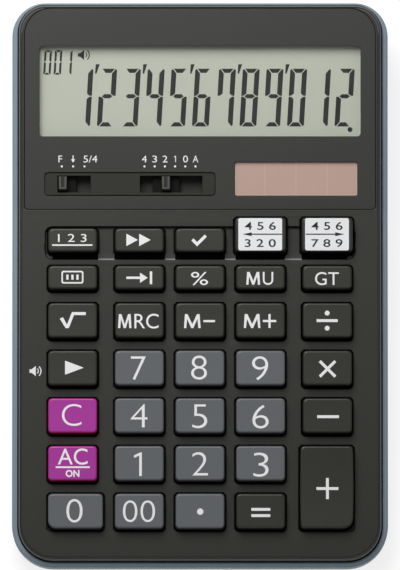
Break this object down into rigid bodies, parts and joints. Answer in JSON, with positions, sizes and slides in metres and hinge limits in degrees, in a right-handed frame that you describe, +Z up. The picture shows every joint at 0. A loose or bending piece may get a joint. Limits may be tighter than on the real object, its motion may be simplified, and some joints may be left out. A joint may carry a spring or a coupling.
{
  "type": "desktop calculator",
  "caption": "Wedge-shaped desktop calculator: sprung keys, two slide switches, solar cell and a digit display in a steeper panel.",
  "frame": {"origin": "under the middle of the case, in the plane that the rubber feet stand on", "axes": "+X to the user's right, +Y from the user towards the display, +Z up"},
  "size_m": [0.1268, 0.1896, 0.0337],
  "materials": {
    "case_blue_grey": "satin",
    "case_charcoal": "satin, fine texture",
    "panel_charcoal": "satin",
    "clear_window": "clear, glossy",
    "display_glass": "grey-green",
    "polariser_film": "grey-green film",
    "holder_white": "satin",
    "ribbon_amber": "amber film",
    "solar_brown": "amorphous silicon on glass",
    "spring_metal": "plated",
    "keypad_rubber": "matte silicone",
    "board_green": "solder resist",
    "resin_black": "glossy resin",
    "screw_steel": "zinc plated",
    "foot_rubber": "matte",
    "cell_steel": "polished",
    "buzzer_brass": "bare",
    "lead_red": "insulated",
    "knob_black": "satin",
    "key_grey": "satin",
    "key_black": "satin",
    "key_magenta": "satin",
    "key_label": "satin, white label printed on top"
  },
  "bodies": {
    "case": {"lower_case": "case_blue_grey", "upper_case": "case_charcoal", "display_panel": "panel_charcoal", "display_window": "clear_window", "lcd_glass": "display_glass", "lcd_polarisers": "polariser_film", "lcd_holder": "holder_white", "lcd_ribbon": "ribbon_amber", "solar_cell": "solar_brown", "solar_contacts": "spring_metal", "keypad_rubber": "keypad_rubber", "circuit_board": "board_green", "chip_resin": "resin_black", "board_screws": "screw_steel", "case_screws": "screw_steel", "rubber_feet": "foot_rubber", "battery": "cell_steel", "battery_contact_negative": "spring_metal", "battery_contact_positive": "spring_metal", "battery_cover": "case_blue_grey", "piezo_buzzer": "buzzer_brass", "leads": "lead_red"},
    "rounding_switch": {"rounding_knob": "knob_black", "rounding_wiper": "spring_metal"},
    "decimal_switch": {"decimal_knob": "knob_black", "decimal_wiper": "spring_metal"},
    "key_0": {"key_0": "key_grey"},
    "key_00": {"key_00": "key_grey"},
    "key_point": {"key_point": "key_grey"},
    "key_equals": {"key_equals": "key_black"},
    "key_all_clear": {"key_all_clear": "key_magenta"},
    "key_1": {"key_1": "key_grey"},
    "key_2": {"key_2": "key_grey"},
    "key_3": {"key_3": "key_grey"},
    "key_plus": {"key_plus": "key_black"},
    "key_clear": {"key_clear": "key_magenta"},
    "key_4": {"key_4": "key_grey"},
    "key_5": {"key_5": "key_grey"},
    "key_6": {"key_6": "key_grey"},
    "key_minus": {"key_minus": "key_black"},
    "key_backspace": {"key_backspace": "key_black"},
    "key_7": {"key_7": "key_grey"},
    "key_8": {"key_8": "key_grey"},
    "key_9": {"key_9": "key_grey"},
    "key_multiply": {"key_multiply": "key_black"},
    "key_square_root": {"key_square_root": "key_black"},
    "key_memory_recall": {"key_memory_recall": "key_black"},
    "key_memory_minus": {"key_memory_minus": "key_black"},
    "key_memory_plus": {"key_memory_plus": "key_black"},
    "key_divide": {"key_divide": "key_black"},
    "key_show_steps": {"key_show_steps": "key_black"},
    "key_go_to": {"key_go_to": "key_black"},
    "key_percent": {"key_percent": "key_black"},
    "key_markup": {"key_markup": "key_black"},
    "key_grand_total": {"key_grand_total": "key_black"},
    "key_recheck": {"key_recheck": "key_black"},
    "key_auto_review": {"key_auto_review": "key_black"},
    "key_correct": {"key_correct": "key_black"},
    "key_step_back": {"key_step_back": "key_label"},
    "key_step_forward": {"key_step_forward": "key_label"}
  },
  "joints": [
    {"name": "key_0_press", "type": "slide", "parent": "case", "child": "key_0", "axis": [0, 0.0872, -0.9962], "range_m": [0, 0.0018], "stiffness_N_per_m": 250, "springref_m": -0.0008, "deforming": ["keypad_rubber"]},
    {"name": "key_00_press", "type": "slide", "parent": "case", "child": "key_00", "axis": [0, 0.0872, -0.9962], "range_m": [0, 0.0018], "stiffness_N_per_m": 250, "springref_m": -0.0008, "deforming": ["keypad_rubber"]},
    {"name": "key_point_press", "type": "slide", "parent": "case", "child": "key_point", "axis": [0, 0.0872, -0.9962], "range_m": [0, 0.0018], "stiffness_N_per_m": 250, "springref_m": -0.0008, "deforming": ["keypad_rubber"]},
    {"name": "key_equals_press", "type": "slide", "parent": "case", "child": "key_equals", "axis": [0, 0.0872, -0.9962], "range_m": [0, 0.0018], "stiffness_N_per_m": 250, "springref_m": -0.0008, "deforming": ["keypad_rubber"]},
    {"name": "key_all_clear_press", "type": "slide", "parent": "case", "child": "key_all_clear", "axis": [0, 0.0872, -0.9962], "range_m": [0, 0.0018], "stiffness_N_per_m": 250, "springref_m": -0.0008, "deforming": ["keypad_rubber"]},
    {"name": "key_1_press", "type": "slide", "parent": "case", "child": "key_1", "axis": [0, 0.0872, -0.9962], "range_m": [0, 0.0018], "stiffness_N_per_m": 250, "springref_m": -0.0008, "deforming": ["keypad_rubber"]},
    {"name": "key_2_press", "type": "slide", "parent": "case", "child": "key_2", "axis": [0, 0.0872, -0.9962], "range_m": [0, 0.0018], "stiffness_N_per_m": 250, "springref_m": -0.0008, "deforming": ["keypad_rubber"]},
    {"name": "key_3_press", "type": "slide", "parent": "case", "child": "key_3", "axis": [0, 0.0872, -0.9962], "range_m": [0, 0.0018], "stiffness_N_per_m": 250, "springref_m": -0.0008, "deforming": ["keypad_rubber"]},
    {"name": "key_plus_press", "type": "slide", "parent": "case", "child": "key_plus", "axis": [0, 0.0872, -0.9962], "range_m": [0, 0.0018], "stiffness_N_per_m": 250, "springref_m": -0.0008, "deforming": ["keypad_rubber"]},
    {"name": "key_clear_press", "type": "slide", "parent": "case", "child": "key_clear", "axis": [0, 0.0872, -0.9962], "range_m": [0, 0.0018], "stiffness_N_per_m": 250, "springref_m": -0.0008, "deforming": ["keypad_rubber"]},
    {"name": "key_4_press", "type": "slide", "parent": "case", "child": "key_4", "axis": [0, 0.0872, -0.9962], "range_m": [0, 0.0018], "stiffness_N_per_m": 250, "springref_m": -0.0008, "deforming": ["keypad_rubber"]},
    {"name": "key_5_press", "type": "slide", "parent": "case", "child": "key_5", "axis": [0, 0.0872, -0.9962], "range_m": [0, 0.0018], "stiffness_N_per_m": 250, "springref_m": -0.0008, "deforming": ["keypad_rubber"]},
    {"name": "key_6_press", "type": "slide", "parent": "case", "child": "key_6", "axis": [0, 0.0872, -0.9962], "range_m": [0, 0.0018], "stiffness_N_per_m": 250, "springref_m": -0.0008, "deforming": ["keypad_rubber"]},
    {"name": "key_minus_press", "type": "slide", "parent": "case", "child": "key_minus", "axis": [0, 0.0872, -0.9962], "range_m": [0, 0.0018], "stiffness_N_per_m": 250, "springref_m": -0.0008, "deforming": ["keypad_rubber"]},
    {"name": "key_backspace_press", "type": "slide", "parent": "case", "child": "key_backspace", "axis": [0, 0.0872, -0.9962], "range_m": [0, 0.0018], "stiffness_N_per_m": 250, "springref_m": -0.0008, "deforming": ["keypad_rubber"]},
    {"name": "key_7_press", "type": "slide", "parent": "case", "child": "key_7", "axis": [0, 0.0872, -0.9962], "range_m": [0, 0.0018], "stiffness_N_per_m": 250, "springref_m": -0.0008, "deforming": ["keypad_rubber"]},
    {"name": "key_8_press", "type": "slide", "parent": "case", "child": "key_8", "axis": [0, 0.0872, -0.9962], "range_m": [0, 0.0018], "stiffness_N_per_m": 250, "springref_m": -0.0008, "deforming": ["keypad_rubber"]},
    {"name": "key_9_press", "type": "slide", "parent": "case", "child": "key_9", "axis": [0, 0.0872, -0.9962], "range_m": [0, 0.0018], "stiffness_N_per_m": 250, "springref_m": -0.0008, "deforming": ["keypad_rubber"]},
    {"name": "key_multiply_press", "type": "slide", "parent": "case", "child": "key_multiply", "axis": [0, 0.0872, -0.9962], "range_m": [0, 0.0018], "stiffness_N_per_m": 250, "springref_m": -0.0008, "deforming": ["keypad_rubber"]},
    {"name": "key_square_root_press", "type": "slide", "parent": "case", "child": "key_square_root", "axis": [0, 0.0872, -0.9962], "range_m": [0, 0.0018], "stiffness_N_per_m": 250, "springref_m": -0.0008, "deforming": ["keypad_rubber"]},
    {"name": "key_memory_recall_press", "type": "slide", "parent": "case", "child": "key_memory_recall", "axis": [0, 0.0872, -0.9962], "range_m": [0, 0.0018], "stiffness_N_per_m": 250, "springref_m": -0.0008, "deforming": ["keypad_rubber"]},
    {"name": "key_memory_minus_press", "type": "slide", "parent": "case", "child": "key_memory_minus", "axis": [0, 0.0872, -0.9962], "range_m": [0, 0.0018], "stiffness_N_per_m": 250, "springref_m": -0.0008, "deforming": ["keypad_rubber"]},
    {"name": "key_memory_plus_press", "type": "slide", "parent": "case", "child": "key_memory_plus", "axis": [0, 0.0872, -0.9962], "range_m": [0, 0.0018], "stiffness_N_per_m": 250, "springref_m": -0.0008, "deforming": ["keypad_rubber"]},
    {"name": "key_divide_press", "type": "slide", "parent": "case", "child": "key_divide", "axis": [0, 0.0872, -0.9962], "range_m": [0, 0.0018], "stiffness_N_per_m": 250, "springref_m": -0.0008, "deforming": ["keypad_rubber"]},
    {"name": "key_show_steps_press", "type": "slide", "parent": "case", "child": "key_show_steps", "axis": [0, 0.0872, -0.9962], "range_m": [0, 0.0018], "stiffness_N_per_m": 250, "springref_m": -0.0008, "deforming": ["keypad_rubber"]},
    {"name": "key_go_to_press", "type": "slide", "parent": "case", "child": "key_go_to", "axis": [0, 0.0872, -0.9962], "range_m": [0, 0.0018], "stiffness_N_per_m": 250, "springref_m": -0.0008, "deforming": ["keypad_rubber"]},
    {"name": "key_percent_press", "type": "slide", "parent": "case", "child": "key_percent", "axis": [0, 0.0872, -0.9962], "range_m": [0, 0.0018], "stiffness_N_per_m": 250, "springref_m": -0.0008, "deforming": ["keypad_rubber"]},
    {"name": "key_markup_press", "type": "slide", "parent": "case", "child": "key_markup", "axis": [0, 0.0872, -0.9962], "range_m": [0, 0.0018], "stiffness_N_per_m": 250, "springref_m": -0.0008, "deforming": ["keypad_rubber"]},
    {"name": "key_grand_total_press", "type": "slide", "parent": "case", "child": "key_grand_total", "axis": [0, 0.0872, -0.9962], "range_m": [0, 0.0018], "stiffness_N_per_m": 250, "springref_m": -0.0008, "deforming": ["keypad_rubber"]},
    {"name": "key_recheck_press", "type": "slide", "parent": "case", "child": "key_recheck", "axis": [0, 0.0872, -0.9962], "range_m": [0, 0.0018], "stiffness_N_per_m": 250, "springref_m": -0.0008, "deforming": ["keypad_rubber"]},
    {"name": "key_auto_review_press", "type": "slide", "parent": "case", "child": "key_auto_review", "axis": [0, 0.0872, -0.9962], "range_m": [0, 0.0018], "stiffness_N_per_m": 250, "springref_m": -0.0008, "deforming": ["keypad_rubber"]},
    {"name": "key_correct_press", "type": "slide", "parent": "case", "child": "key_correct", "axis": [0, 0.0872, -0.9962], "range_m": [0, 0.0018], "stiffness_N_per_m": 250, "springref_m": -0.0008, "deforming": ["keypad_rubber"]},
    {"name": "key_step_back_press", "type": "slide", "parent": "case", "child": "key_step_back", "axis": [0, 0.0872, -0.9962], "range_m": [0, 0.0018], "stiffness_N_per_m": 250, "springref_m": -0.0008, "deforming": ["keypad_rubber"]},
    {"name": "key_step_forward_press", "type": "slide", "parent": "case", "child": "key_step_forward", "axis": [0, 0.0872, -0.9962], "range_m": [0, 0.0018], "stiffness_N_per_m": 250, "springref_m": -0.0008, "deforming": ["keypad_rubber"]},
    {"name": "rounding_slide", "type": "slide", "parent": "case", "child": "rounding_switch", "axis": [1, 0, 0], "range_m": [0, 0.0076]},
    {"name": "decimal_slide", "type": "slide", "parent": "case", "child": "decimal_switch", "axis": [1, 0, 0], "range_m": [-0.007, 0.0105]}
  ]
}
